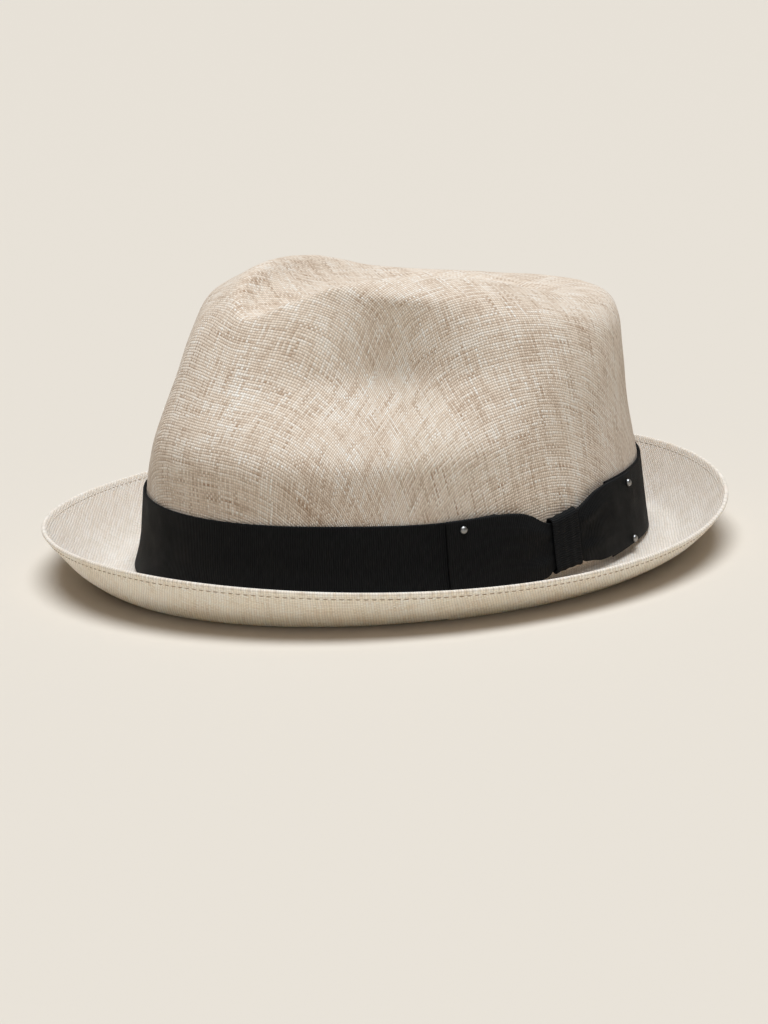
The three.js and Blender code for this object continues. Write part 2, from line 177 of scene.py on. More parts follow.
# Grosgrain. Ribs run across its width, with thread marks along them, so many in a metre. The stops are where
# the ribbon has its dark and pale colours, and its roughness changes over a length.
RIB_PITCH = 0.8 * MM
RIB_RELIEF = 0.16 * MM
RIB_SHARE = 0.5
RIB_TONE = 0.22
MARKS_PER_METRE = 220.0
MARK_SCALE = 1.3
MARK_SHARE = 0.4
RIBBON_STOPS = (0.2, 0.95)
RIBBON_COLOURS = ((0.0034, 0.0037, 0.0040), (0.0120, 0.0126, 0.0132))
RIBBON_ROUGHNESS = (0.55, 0.72)
ROUGHNESS_LENGTH = 12 * MM

# Between these values lies nearly all of a noise.
NOISE_LOW = 0.3
NOISE_HIGH = 0.7

# Small marks on the studs.
WEAR_LENGTH = 0.6 * MM
WEAR_DEPTH = 0.01 * MM

# Crown above the band. rise is the share of the way up to the crest, and sink the share of the way down to
# the crease's floor. front, back and side are shares of the plan at the band's top, and nose is the share by
# which the front is narrower and the back wider.
CROWN_ROWS = table(
    "rise sink front back side nose",
    (0.00, 0.00, 1.00, 1.000, 1.000, 0.000),
    (0.30, 0.00, 1.00, 0.972, 0.942, 0.023),
    (0.60, 0.00, 0.91, 0.967, 0.897, 0.063),
    (0.83, 0.00, 0.84, 0.973, 0.806, 0.165),
    (0.96, 0.00, 0.79, 0.950, 0.602, 0.385),
    (1.00, 0.00, 0.75, 0.760, 0.490, 0.450),
    (0.99, 0.33, 0.67, 0.650, 0.395, 0.430),
    (0.98, 0.65, 0.54, 0.530, 0.295, 0.390),
    (0.98, 0.95, 0.38, 0.385, 0.190, 0.320),
    (0.98, 1.00, 0.19, 0.200, 0.100, 0.190),
    (0.98, 1.00, 0.00, 0.000, 0.000, 0.000),
)

# Pinches beside the front, where the wall is pressed in. bearing is degrees round from the front, reach is
# how far from the crown's axis it is pressed in to, foot and floor are the heights where that starts and is
# complete, and foot_spread and head_spread are its widths in degrees at its bottom and top. Lengths are
# millimetres.
PINCH_ROWS = table(
    "bearing reach foot floor foot_spread head_spread",
    (51, 52, 46, 77, 27, 46),
    (-57, 66, 29, 75, 26, 26),
)

# Crest height, as a share of the crown's height, every 30 degrees from the front to the back.
CREST_ROWS = table("height", (0.880,), (0.928,), (0.987,), (0.959,), (0.865,), (0.821,), (0.815,))

# Brim from the bend to the rim. out is a share of the reach, lift of the rim's rise, and sag of the dip.
BRIM_ROWS = table(
    "out lift sag",
    (0.05, 0.00, 0.40),
    (0.19, 0.00, 1.00),
    (0.43, 0.00, 1.00),
    (0.69, 0.31, 0.30),
    (0.88, 0.70, 0.00),
    (1.00, 1.00, 0.00),
)

# Band from foot to top. up is a share of its width, and flare a share of how far its foot spreads.
BAND_ROWS = table("up flare", (0.00, 1.00), (0.10, 0.70), (0.24, 0.30), (0.42, 0.06), (1.00, 0.00))

# Bow from the front wing's end to the back wing's end. along is a share of a wing's length from the knot's
# middle, foot and head are shares of the band's width, puff is a share of the wing's puff, and pleat is how
# deep the fold along the middle is, as a share of that puff.
BOW_ROWS = table(
    "along foot head puff pleat",
    (-1.00, 0.000, 0.965, 0.00, 0.0),
    (-0.75, 0.005, 0.965, 0.20, 0.0),
    (-0.52, 0.015, 0.955, 0.50, 0.2),
    (-0.38, 0.030, 0.920, 0.85, 0.5),
    (-0.29, 0.050, 0.862, 1.00, 0.8),
    (-0.20, 0.080, 0.770, 0.75, 0.9),
    (-0.12, 0.160, 0.722, 0.00, 0.0),
    (0.00, 0.178, 0.752, 0.00, 0.0),
    (0.12, 0.186, 0.785, 0.00, 0.0),
    (0.20, 0.135, 0.835, 0.75, 0.9),
    (0.29, 0.115, 0.890, 1.00, 0.8),
    (0.38, 0.085, 0.950, 0.85, 0.5),
    (0.52, 0.080, 0.990, 0.50, 0.2),
    (0.75, 0.085, 1.000, 0.20, 0.0),
    (1.00, 0.100, 1.000, 0.00, 0.0),
)

# Steps of the meshes.
CROWN_AROUND = 288
CROWN_ROW_STEPS = 9
CROWN_FOOT_STEPS = 8
BRIM_AROUND = 432
BRIM_ROW_STEPS = 9
BEND_STEPS = 6
HEM_STEPS = 6
RIBBON_AROUND = 320
BOW_STEPS = 170
EDGE_STEPS = 4
ACROSS_STEPS = 28
KNOT_SIDE_STEPS = 22
KNOT_CORNER_STEPS = 8
STITCH_SIDES = 8
STITCH_RINGS = 7
STUD_SIDES = 32
STUD_RINGS = 8
FLOOR_SIDES = 96
LENGTH_STEPS = 8000
RIM_STEPS = 2000

# The least length that is divided by, and how close two points are to be one.
NEAR_ZERO = 1e-9
MERGE_DISTANCE = 1e-6


# Values and curves.
def smooth(column, position, mirrored=False):
    """Value on the smooth curve through a column's rows, at positions counted in rows."""
    if mirrored:
        before, after = column[1], column[-2]
    else:
        before, after = 2 * column[0] - column[1], 2 * column[-1] - column[-2]
    extended = np.concatenate([[before], column, [after]])
    position = np.asarray(position, float)
    start = np.clip(np.floor(position).astype(int), 0, len(column) - 2)
    share = position - start
    a, b, c, d = (extended[start + step] for step in range(4))
    square = (2 * a - 5 * b + 4 * c - d) * share**2
    cube = (3 * b - a - 3 * c + d) * share**3
    return 0.5 * (2 * b + (c - a) * share + square + cube)


def smooth_step(low, high, value):
    """0 below low, 1 above high, and an even curve between them."""
    share = np.clip((value - low) / (high - low), 0, 1)
    return share * share * (3 - 2 * share)


def size_around(size, angle):
    """A size with a value of its own at the front, back, left and right, smooth in between."""
    middle = (size["front"] + size["back"]) / 2
    sides = (size["left"] + size["right"]) / 2
    lengthwise = (size["back"] - size["front"]) / 2 * np.sin(angle)
    crosswise = (size["left"] - size["right"]) / 2 * np.cos(angle)
    return middle + lengthwise + crosswise + (sides - middle) * np.cos(angle) ** 2


def oval_normal(angle):
    """Outward direction of the crown's foot oval, in plan."""
    x = CROWN_LENGTH * np.cos(angle)
    y = CROWN_WIDTH * np.sin(angle)
    length = np.hypot(x, y)
    return x / length, y / length


def oval_point(angle, offset, height):
    """Points outside the crown's foot oval by an offset square to it, at a height over the band's foot."""
    normal_x, normal_y = oval_normal(angle)
    x = CROWN_WIDTH / 2 * np.cos(angle) + offset * normal_x
    y = CROWN_LENGTH / 2 * np.sin(angle) + offset * normal_y
    return np.stack(np.broadcast_arrays(x, y, height), -1)


def wall_offset(height):
    """How far the crown's lower wall leans in at a height over the band's foot."""
    return -CROWN_TAPER * height / BAND_WIDTH


# Length along the oval from the wearer's left towards the back, for angles of up to a turn either way.
OVAL_ANGLES = np.linspace(-TURN, TURN, LENGTH_STEPS + 1)
OVAL_STEPS = np.linalg.norm(np.diff(oval_point(OVAL_ANGLES, 0, 0), axis=0), axis=1)
OVAL_LENGTHS = np.concatenate([[0], np.cumsum(OVAL_STEPS)])
OVAL_LENGTHS -= OVAL_LENGTHS[LENGTH_STEPS // 2]
OVAL_ROUND = OVAL_LENGTHS[-1]


def angle_at(length):
    """The oval's angle at a length along it."""
    return np.interp(length, OVAL_LENGTHS, OVAL_ANGLES)


# Meshes.
def grid_faces(rows, columns, close_rows=False, close_columns=False, start=0):
    """Quads of a grid of points that are numbered row by row."""
    row = np.arange(rows if close_rows else rows - 1)[:, None]
    column = np.arange(columns if close_columns else columns - 1)[None, :]
    next_row = (row + 1) % rows
    next_column = (column + 1) % columns
    corners = [
        row * columns + column,
        row * columns + next_column,
        next_row * columns + next_column,
        next_row * columns + column,
    ]
    return np.stack(corners, -1).reshape(-1, 4) + start


def point_normals(points, faces):
    """Normals at the points of a mesh of quads or triangles."""
    one, two, three = points[faces[:, 0]], points[faces[:, 1]], points[faces[:, 2]]
    square = np.cross(two - one, three - one)
    normals = np.zeros_like(points)
    for corner in range(faces.shape[1]):
        np.add.at(normals, faces[:, corner], square)
    return normals / np.linalg.norm(normals, axis=1)[:, None]


def unevenness(points):
    """A soft, irregular height for each point, between about -1 and 1: waves that never repeat in step."""
    x, y, z = (points * (TURN / UNEVEN_LENGTH)).T
    first = np.sin(x + 1.7 * np.sin(0.31 * y) + 0.6 * z)
    second = np.sin(0.83 * y + 1.3 * np.sin(0.27 * z + 0.4) - 0.5 * x)
    third = np.sin(0.71 * z - 0.9 * x + 1.1 * np.sin(0.37 * x + 2.0))
    return (first + second + third) / 3


def make_piece(name, points, faces, cloth_map, material, node):
    """A smooth closed mesh with a cloth map in metres. It stands for a CAD node, where one is given."""
    mesh = bpy.data.meshes.new(name)
    mesh.from_pydata((points + HAT_ORIGIN).tolist(), [], [list(map(int, face)) for face in faces])
    layer = mesh.uv_layers.new(name="cloth")
    corners = np.empty(len(mesh.loops), int)
    mesh.loops.foreach_get("vertex_index", corners)
    layer.data.foreach_set("uv", np.asarray(cloth_map, float)[corners].ravel())
    body = bmesh.new()
    body.from_mesh(mesh)
    bmesh.ops.remove_doubles(body, verts=body.verts, dist=MERGE_DISTANCE)
    bmesh.ops.recalc_face_normals(body, faces=body.faces)
    body.to_mesh(mesh)
    body.free()
    mesh.shade_smooth()
    mesh.materials.append(material)
    piece = bpy.data.objects.new(name, mesh)
    bpy.context.scene.collection.objects.link(piece)
    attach(piece, "root")
    if node:
        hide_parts(node)


# Materials.
class Graph:
    """The nodes of one material, with short calls for the sums that a pattern needs."""

    def __init__(self, name):
        self.material = bpy.data.materials.new(name)
        self.material.use_nodes = True
        self.tree = self.material.node_tree
        self.shader = self.tree.nodes["Principled BSDF"]

    def node(self, kind, **settings):
        made = self.tree.nodes.new(kind)
        for name, value in settings.items():
            setattr(made, name, value)
        return made

    def feed(self, socket, value):
        """Link a socket to another one, or set its value."""
        if isinstance(value, bpy.types.NodeSocket):
            self.tree.links.new(value, socket)
        else:
            socket.default_value = value

    def math(self, operation, *values):
        made = self.node("ShaderNodeMath", operation=operation)
        for socket, value in zip(made.inputs, values):
            self.feed(socket, value)
        return made.outputs[0]

    def add(self, a, b):
        return self.math("ADD", a, b)

    def times(self, a, b):
        return self.math("MULTIPLY", a, b)

    def vector(self, x, y, z=0.0):
        made = self.node("ShaderNodeCombineXYZ")
        for socket, value in zip(made.inputs, (x, y, z)):
            self.feed(socket, value)
        return made.outputs[0]

    def cloth_map(self):
        """The two coordinates of the cloth map."""
        source = self.node("ShaderNodeUVMap", uv_map="cloth")
        parts = self.node("ShaderNodeSeparateXYZ")
        self.feed(parts.inputs[0], source.outputs[0])
        return parts.outputs[0], parts.outputs[1]

    def noise(self, place, scale, detail=2.0):
        made = self.node("ShaderNodeTexNoise")
        self.feed(made.inputs["Vector"], place)
        made.inputs["Scale"].default_value = scale
        made.inputs["Detail"].default_value = detail
        return made.outputs[0]

    def ramp(self, value, *stops):
        """A colour for a value, from stops of place and colour."""
        made = self.node("ShaderNodeValToRGB")
        elements = made.color_ramp.elements
        while len(elements) < len(stops):
            elements.new(0.5)
        for element, (place, colour) in zip(elements, stops):
            element.position = place
            element.color = (*colour, 1)
        self.feed(made.inputs[0], value)
        return made.outputs[0]

    def range(self, value, low, high, new_low, new_high):
        """A value moved from one range to another, and kept inside it."""
        made = self.node("ShaderNodeMapRange")
        for socket, number in zip(made.inputs, (value, low, high, new_low, new_high)):
            self.feed(socket, number)
        return made.outputs[0]

    def shade(self, colour, factor):
        """A colour made darker or lighter by a factor."""
        made = self.node("ShaderNodeVectorMath", operation="SCALE")
        self.feed(made.inputs[0], colour)
        self.feed(made.inputs["Scale"], factor)
        return made.outputs[0]

    def bump(self, height, depth):
        """Fine relief on the surface, for what is too small to be in the mesh."""
        made = self.node("ShaderNodeBump")
        made.inputs["Distance"].default_value = depth
        self.feed(made.inputs["Height"], height)
        self.feed(self.shader.inputs["Normal"], made.outputs[0])


def linen(name, shadow, middle, light, under=1.0, glow=0.0):
    """Plain weave of slubby threads, each with a tone of its own, with painted shade between the threads,
    painted light on their tops, and painted light where the cloth faces down.
    """
    graph = Graph(name)
    along, across = graph.cloth_map()
    place = graph.vector(along, across)
    wander = graph.noise(place, 1 / WANDER_LENGTH, detail=1.0)
    shift = graph.math("MULTIPLY_ADD", wander, WANDER_SHARE, -WANDER_SHARE / 2)
    warp = graph.math("MULTIPLY_ADD", along, 1 / THREAD_PITCH, shift)
    weft = graph.math("MULTIPLY_ADD", across, 1 / THREAD_PITCH, shift)
    warp_number = graph.math("FLOOR", warp)
    weft_number = graph.math("FLOOR", weft)
    warp_round = graph.math("ABSOLUTE", graph.math("SINE", graph.times(warp, math.pi)))
    weft_round = graph.math("ABSOLUTE", graph.math("SINE", graph.times(weft, math.pi)))

    # The warp is on top at every second crossing.
    odd = graph.math("FLOORED_MODULO", graph.add(warp_number, weft_number), 2.0)
    side = graph.math("MULTIPLY_ADD", odd, 2.0, -1.0)
    warp_wave = graph.math("MULTIPLY_ADD", graph.times(weft_round, side), 0.5, 0.5)
    weft_wave = graph.math("MULTIPLY_ADD", graph.times(warp_round, side), -0.5, 0.5)
    warp_height = graph.times(graph.math("SQRT", warp_round), warp_wave)
    weft_height = graph.times(graph.math("SQRT", weft_round), weft_wave)
    warp_on_top = graph.math("GREATER_THAN", warp_height, weft_height)
    height = graph.math("MAXIMUM", warp_height, weft_height)

    # Each thread's tone, and the tone of the one on top.
    warp_place = graph.vector(graph.times(warp_number, TONE_APART), graph.times(weft, TONE_ALONG))
    weft_place = graph.vector(graph.times(warp, TONE_ALONG), graph.times(weft_number, TONE_APART), WEFT_LAYER)
    warp_tone = graph.noise(warp_place, 1.0, detail=3.0)
    weft_tone = graph.noise(weft_place, 1.0, detail=3.0)
    tone = graph.node("ShaderNodeMix", data_type="FLOAT")
    graph.feed(tone.inputs[0], warp_on_top)
    graph.feed(tone.inputs[2], weft_tone)
    graph.feed(tone.inputs[3], warp_tone)
    patch_noise = graph.noise(place, 1 / PATCH_LENGTH)
    patch = graph.math("MULTIPLY_ADD", patch_noise, PATCH_CONTRAST, 0.5 - PATCH_CONTRAST / 2)
    spread = graph.math("MULTIPLY_ADD", graph.add(tone.outputs[0], -0.5), TONE_CONTRAST, patch)
    colour = graph.ramp(spread, *zip(TONE_STOPS, (shadow, middle, light)))
    # Painted shade between the threads and painted light on their tops.
    painted_thread_shade_and_light = graph.range(height, 0.0, HIGH_THREAD, PAINTED_SHADE_BETWEEN_THREADS, PAINTED_LIGHT_ON_THREAD_TOPS)

    # Painted light: where the cloth faces down, its colour is times a factor, which paints light onto the
    # brim's underside.
    facing = graph.node("ShaderNodeSeparateXYZ")
    graph.feed(facing.inputs[0], graph.node("ShaderNodeTexCoord").outputs["Normal"])
    underside_painted_light_factor = graph.range(facing.outputs[2], FACES_DOWN, FACES_OUT, under, 1.0)
    colour_with_painted_light = graph.shade(colour, graph.times(painted_thread_shade_and_light, underside_painted_light_factor))
    graph.feed(graph.shader.inputs["Base Color"], colour_with_painted_light)
    graph.shader.inputs["Roughness"].default_value = 0.9
    graph.shader.inputs["Specular IOR Level"].default_value = 0.25
    graph.shader.inputs["Sheen Weight"].default_value = 0.08
    graph.shader.inputs["Subsurface Weight"].default_value = glow
    graph.shader.inputs["Subsurface Radius"].default_value = GLOW_COLOUR
    graph.shader.inputs["Subsurface Scale"].default_value = GLOW_REACH
    slub = graph.math("MULTIPLY_ADD", tone.outputs[0], SLUB_SPREAD, LEAST_SLUB)
    graph.bump(graph.times(height, slub), THREAD_RELIEF)
    return graph.material


def grosgrain():
    """Near-black ribbon with fine ribs across its width."""
    graph = Graph("grosgrain")
    along, across = graph.cloth_map()
    place = graph.vector(along, across)
    rib = graph.math("SINE", graph.times(along, TURN / RIB_PITCH))
    mark_place = graph.vector(graph.times(along, 1 / RIB_PITCH), graph.times(across, MARKS_PER_METRE))
    mark = graph.noise(mark_place, MARK_SCALE)
    roughness = graph.noise(place, 1 / ROUGHNESS_LENGTH)
    roughness = graph.range(roughness, NOISE_LOW, NOISE_HIGH, *RIBBON_ROUGHNESS)
    tone = graph.add(graph.times(rib, RIB_TONE), mark)
    colour = graph.ramp(tone, *zip(RIBBON_STOPS, RIBBON_COLOURS))
    graph.feed(graph.shader.inputs["Base Color"], colour)
    graph.feed(graph.shader.inputs["Roughness"], roughness)
    graph.shader.inputs["Specular IOR Level"].default_value = 0.1
    relief = graph.add(graph.times(rib, RIB_SHARE), graph.times(mark, MARK_SHARE))
    graph.bump(relief, RIB_RELIEF)
    return graph.material


def plain(name, colour, roughness, metallic=0.0, wear=0.0):
    """One colour, with marks as deep as wear where that is given."""
    graph = Graph(name)
    graph.shader.inputs["Base Color"].default_value = (*colour, 1)
    graph.shader.inputs["Roughness"].default_value = roughness
    graph.shader.inputs["Metallic"].default_value = metallic
    if wear:
        source = graph.node("ShaderNodeTexCoord")
        graph.bump(graph.noise(source.outputs["Object"], 1 / WEAR_LENGTH), wear)
    return graph.material


# Crown.
BEND_MIDDLE = BEND_RADIUS - BEND_DROP
CROWN_FOOT = BEND_MIDDLE - math.sqrt(BEND_RADIUS**2 - (BEND_RADIUS - GAP) ** 2) + 1.5 * GAP


def crest_height(angle):
    """Height of the crest over the band's foot, in the direction of an angle."""
    bearing = np.arccos(np.clip(-np.sin(angle), -1, 1)) / math.pi
    rows = CREST_ROWS["height"]
    return CROWN_HEIGHT * smooth(rows, bearing * (len(rows) - 1), mirrored=True)


def crease_floor(y):
    """Height of the crease's floor, which falls towards the back."""
    return CROWN_HEIGHT - CREASE_DEPTH - CREASE_FALL * y / CROWN_LENGTH


def pressed(row, reach, bearing, z):
    """How far a pinch presses in wall points that stand a reach outside the crown's axis, in a direction."""
    foot, floor = row["foot"] * MM, row["floor"] * MM
    excess = reach - row["reach"] * MM - PINCH_LEAN * (PINCH_HEAD - z)
    rounded = np.clip(excess + PINCH_ROUNDING, 0, 2 * PINCH_ROUNDING) ** 2 / (4 * PINCH_ROUNDING)
    depth = rounded + np.maximum(excess - PINCH_ROUNDING, 0)
    upward = smooth_step(foot, PINCH_HEAD, z)
    spread = row["foot_spread"] + (row["head_spread"] - row["foot_spread"]) * upward
    around = np.exp(-(((bearing - row["bearing"]) / spread) ** 2))
    return depth * around * smooth_step(foot, floor, z)


def pinched(x, y, z):
    """Points after the two front pinches have pressed the wall in towards the crown's axis."""
    reach = np.maximum(np.hypot(x, y), NEAR_ZERO)
    bearing = np.degrees(np.arctan2(x, -y))
    push = 0
    for row in table_rows(PINCH_ROWS):
        push = push + pressed(row, reach, bearing, z)
    scale = 1 - push / reach
    return np.stack([x * scale, y * scale, z], -1)


def crown_points(angle, position):
    """Points of the crown's outer face above the band, at positions counted in rows of its table."""
    row = {name: smooth(column, position) for name, column in CROWN_ROWS.items()}
    foot = oval_point(angle, -CROWN_TAPER, BAND_WIDTH)
    back = np.sin(angle)
    x = foot[..., 0] * row["side"] * (1 + row["nose"] * back)
    y = foot[..., 1] * ((row["back"] + row["front"]) / 2 + (row["back"] - row["front"]) / 2 * back)
    wall = BAND_WIDTH + row["rise"] * (crest_height(angle) - BAND_WIDTH)
    z = wall * (1 - row["sink"]) + crease_floor(y) * row["sink"]
    return pinched(x, y, z)


def blocked_map(grid, apex):
    """Where each point of the crown lies on the flat cloth, whose threads run lengthwise and crosswise on top
    and slant past each other down the wall between the front, the sides and the back."""
    down = np.concatenate([np.broadcast_to(apex, (1, *grid.shape[1:])), grid[::-1]])
    steps = np.linalg.norm(np.diff(down, axis=0), axis=-1)
    fall = np.cumsum(steps, axis=0)[::-1]
    reach = np.maximum(np.hypot(grid[..., 0], grid[..., 1]), NEAR_ZERO)
    spare = fall - reach
    result = []
    for axis in (0, 1):
        share = grid[..., axis] / reach
        result.append(grid[..., axis] + spare * share * np.abs(share))
    return np.stack(result, -1)


def make_crown(material):
    """The blocked shell: its wall behind the band, the shape above it, and the same again inside."""
    angles = np.arange(CROWN_AROUND) / CROWN_AROUND * TURN
    heights = np.linspace(CROWN_FOOT, BAND_WIDTH, CROWN_FOOT_STEPS, endpoint=False)
    lower = oval_point(angles[None], wall_offset(heights[:, None]), heights[:, None])
    last = len(CROWN_ROWS["rise"]) - 1
    positions = np.linspace(0, last, last * CROWN_ROW_STEPS + 1)
    upper = crown_points(angles[None], positions[:-1, None])
    apex = crown_points(np.zeros(1), np.array([float(last)]))
    grid = np.concatenate([lower, upper])
    rows = len(grid)
    count = rows * CROWN_AROUND
    outer = np.concatenate([grid.reshape(-1, 3), apex])

    # Quads up the wall, and a fan of triangles round the last point.
    skin = grid_faces(rows, CROWN_AROUND, close_columns=True)
    ring = np.arange(CROWN_AROUND)
    next_ring = (ring + 1) % CROWN_AROUND
    top_row = (rows - 1) * CROWN_AROUND
    fan = np.stack([top_row + ring, top_row + next_ring, np.full(CROWN_AROUND, count)], -1)
    normals = point_normals(outer, skin)
    normals[-1] = (0, 0, 1)
    outer = outer + normals * (UNEVENNESS * unevenness(outer))[:, None]
    cloth = np.concatenate([blocked_map(grid, apex).reshape(-1, 2), np.zeros((1, 2))])

    # The inner face, and the ring of quads that joins the two at the foot.
    inner = outer - CROWN_WALL * normals
    inside = count + 1
    foot = np.stack([ring, next_ring, inside + next_ring, inside + ring], -1)
    faces = [*skin, *fan, *(skin[:, ::-1] + inside), *(fan[:, ::-1] + inside), *foot]
    points = np.concatenate([outer, inner])
    make_piece("crown_shell", points, faces, np.concatenate([cloth, cloth]), material, "crown")


# Brim.
def brim_upper_line(angle):
    """The brim's upper face as offsets and heights, from the collar's top to the rim."""
    seam = -CROWN_WALL - GAP
    zero = np.zeros_like(angle)
    line = [(seam + wall_offset(COLLAR_HEIGHT) + zero, COLLAR_HEIGHT + zero)]
    for turn in np.linspace(0, math.pi / 2, BEND_STEPS + 1):
        offset = seam + wall_offset(BEND_MIDDLE) + BEND_RADIUS * (1 - math.cos(turn))
        line.append((offset + zero, BEND_MIDDLE - BEND_RADIUS * math.sin(turn) + zero))
    last = len(BRIM_ROWS["out"]) - 1
    for position in np.linspace(0, last, last * BRIM_ROW_STEPS + 1)[BRIM_ROW_STEPS // 2 :]:
        row = {name: float(smooth(column, position)) for name, column in BRIM_ROWS.items()}
        offset = row["out"] * size_around(BRIM_REACH, angle)
        height = row["lift"] * size_around(BRIM_RISE, angle) - min(row["sag"], 1) * BRIM_DIP
        line.append((offset, height))
    return np.array(line)


def brim_lines(angle):
    """The brim's upper and lower lines and how far each point is from the rim, at a row of angles."""
    upper = brim_upper_line(angle)
    steps = np.linalg.norm(np.diff(upper, axis=0), axis=1)
    length = np.concatenate([np.zeros((1, len(angle))), np.cumsum(steps, axis=0)])
    from_rim = length[-1] - length
    along = np.gradient(upper, axis=0)
    along = along / np.linalg.norm(along, axis=1)[:, None]
    hem = HEM_PROUD * smooth_step(HEM_WIDTH + HEM_STEP, HEM_WIDTH, from_rim)
    groove = STITCH_GROOVE * np.exp(-(((from_rim - STITCH_FROM_RIM) / GROOVE_WIDTH) ** 2))
    thinning = smooth_step(RIM_THINNING * upper[-1, 0], upper[-1, 0], upper[:, 0])
    thickness = BRIM_THICKNESS + (RIM_THICKNESS - BRIM_THICKNESS) * thinning + hem - groove
    offset = upper[:, 0] + along[:, 1] * thickness
    height = upper[:, 1] - along[:, 0] * thickness
    rest = -BRIM_DIP - BRIM_THICKNESS
    height = np.where(height < rest + BRIM_FLATTENING, rest, height)
    shallow = groove * UPPER_GROOVE
    top = np.stack([upper[:, 0] + along[:, 1] * shallow, upper[:, 1] - along[:, 0] * shallow], 1)
    return top, np.stack([offset, height], 1), from_rim, along


def brim_sections(angle):
    """Closed loops of points round the brim's section, and their places on the flat cloth."""
    upper, lower, from_rim, along = brim_lines(angle)
    middle = (upper[-1] + lower[-1]) / 2
    half = upper[-1] - middle
    roll = []
    for turn in np.linspace(0, math.pi, HEM_STEPS + 1)[1:-1]:
        roll.append(middle + half * math.cos(turn) + along[-1] * HEM_BULGE * math.sin(turn))
    loop = np.concatenate([upper, roll, lower[::-1]])
    points = oval_point(angle[None], loop[:, 0], loop[:, 1])
    out = from_rim[0] - from_rim
    out = np.concatenate([out, np.repeat(out[-1:], len(roll), axis=0), out[::-1]])
    flat = oval_point(angle[None], out, 0.0)[..., :2]
    cosine, sine = math.cos(BRIM_GRAIN_TURN), math.sin(BRIM_GRAIN_TURN)
    x, y = flat[..., 0], flat[..., 1]
    return points, np.stack([x * cosine - y * sine, x * sine + y * cosine], -1)


BRIM_ANGLES = np.arange(BRIM_AROUND) / BRIM_AROUND * TURN
BRIM_POINTS, BRIM_MAP = brim_sections(BRIM_ANGLES)
BRIM_MIDDLE = (BRIM_POINTS[..., 1].min() + BRIM_POINTS[..., 1].max()) / 2
HAT_ORIGIN = np.array([0, -BRIM_MIDDLE, BRIM_DIP + BRIM_THICKNESS])


def make_brim(material):
    """The ring of cloth with its collar, turned-up rim and hem."""
    rows, columns = BRIM_POINTS.shape[:2]
    points = BRIM_POINTS.reshape(-1, 3)
    faces = grid_faces(rows, columns, close_rows=True, close_columns=True)
    make_piece("brim_shell", points, faces, BRIM_MAP.reshape(-1, 2), material, "brim")


def line_at(line, from_rim, distance):
    """Offsets and heights of a brim line at a distance from the rim, for each angle that it is given at."""
    places = []
    for way, points in zip(from_rim.T, line.T):
        places.append([np.interp(-distance, -way, values) for values in points])
    return np.array(places).T


def stitch_frames(face):
    """Middle, direction and outward normal of each stitch on the hem's upper face, 0, or lower face, 1."""
    angles = np.linspace(0, TURN, RIM_STEPS + 1)
    rim = oval_point(angles, size_around(BRIM_REACH, angles), 0)
    lengths = np.concatenate([[0], np.cumsum(np.linalg.norm(np.diff(rim, axis=0), axis=1))])
    count = round(lengths[-1] / STITCH_PITCH)
    at = np.interp(np.arange(count) / count * lengths[-1], lengths, angles)
    rows = []
    for step in (-STITCH_NUDGE, 0, STITCH_NUDGE):
        lines = brim_lines(at + step)
        line, from_rim = lines[face], lines[2]
        for distance in (STITCH_FROM_RIM, STITCH_FROM_RIM - GROOVE_WIDTH):
            offset, height = line_at(line, from_rim, distance)
            rows.append(oval_point(at + step, offset, height))
    before, _, middle, outward, after, _ = rows
    direction = after - before
    direction /= np.linalg.norm(direction, axis=1)[:, None]
    normal = np.cross(outward - middle, direction) * (1 if face == 0 else -1)
    normal /= np.linalg.norm(normal, axis=1)[:, None]
    return middle, direction, normal


def make_stitches(name, face, material):
    """The stitches on one face of the hem."""
    around = np.arange(STITCH_SIDES) / STITCH_SIDES * TURN
    along = np.linspace(-1, 1, STITCH_RINGS)
    width = STITCH_RADIUS * np.maximum(np.sqrt(1 - np.abs(along) ** 3), STITCH_TIP)
    bend = STITCH_RADIUS * (STITCH_ARCH * (1 - along**2) - STITCH_SUNK)
    points, faces = [], []
    for middle, direction, normal in zip(*stitch_frames(face)):
        across = np.cross(direction, normal)
        centre = middle + along[:, None] * direction * STITCH_LENGTH / 2 + bend[:, None] * normal
        ring = np.cos(around)[:, None] * normal + np.sin(around)[:, None] * across
        tube = centre[:, None] + width[:, None, None] * ring[None]
        start = STITCH_SIDES * STITCH_RINGS * len(points)
        end = start + STITCH_SIDES * (STITCH_RINGS - 1)
        points.append(tube.reshape(-1, 3))
        faces.extend(grid_faces(STITCH_RINGS, STITCH_SIDES, close_columns=True, start=start).tolist())
        faces.append(list(range(start, start + STITCH_SIDES)))
        faces.append(list(range(end, end + STITCH_SIDES))[::-1])
    points = np.concatenate(points)
    make_piece(name, points, faces, points[:, :2], material, None)


# Ribbon.
def ribbon_points(angle, height, distance):
    """Points at a distance outside the band's inner face, by the oval's angle and the height."""
    spread = np.interp(height / BAND_WIDTH, BAND_ROWS["up"], BAND_ROWS["flare"])
    flare = size_around(BAND_FLARE, angle) * spread
    return oval_point(angle, wall_offset(height) + BAND_CLEARANCE + flare + distance, height)


def rounded_section(edge):
    """Shares of the way up and depths through a ribbon, in a loop with rounded edges."""
    turns = np.linspace(0, math.pi, 2 * EDGE_STEPS + 1)[1:-1]
    straight = np.linspace(edge, 1 - edge, ACROSS_STEPS + 1)
    bulge = edge * np.sin(turns)
    share = np.concatenate([straight, 1 - edge + bulge, straight[::-1], edge - bulge])
    outer = np.ones(ACROSS_STEPS + 1)
    depth = np.concatenate([outer, 0.5 + 0.5 * np.cos(turns), 0 * outer, 0.5 - 0.5 * np.cos(turns)])
    return share, depth


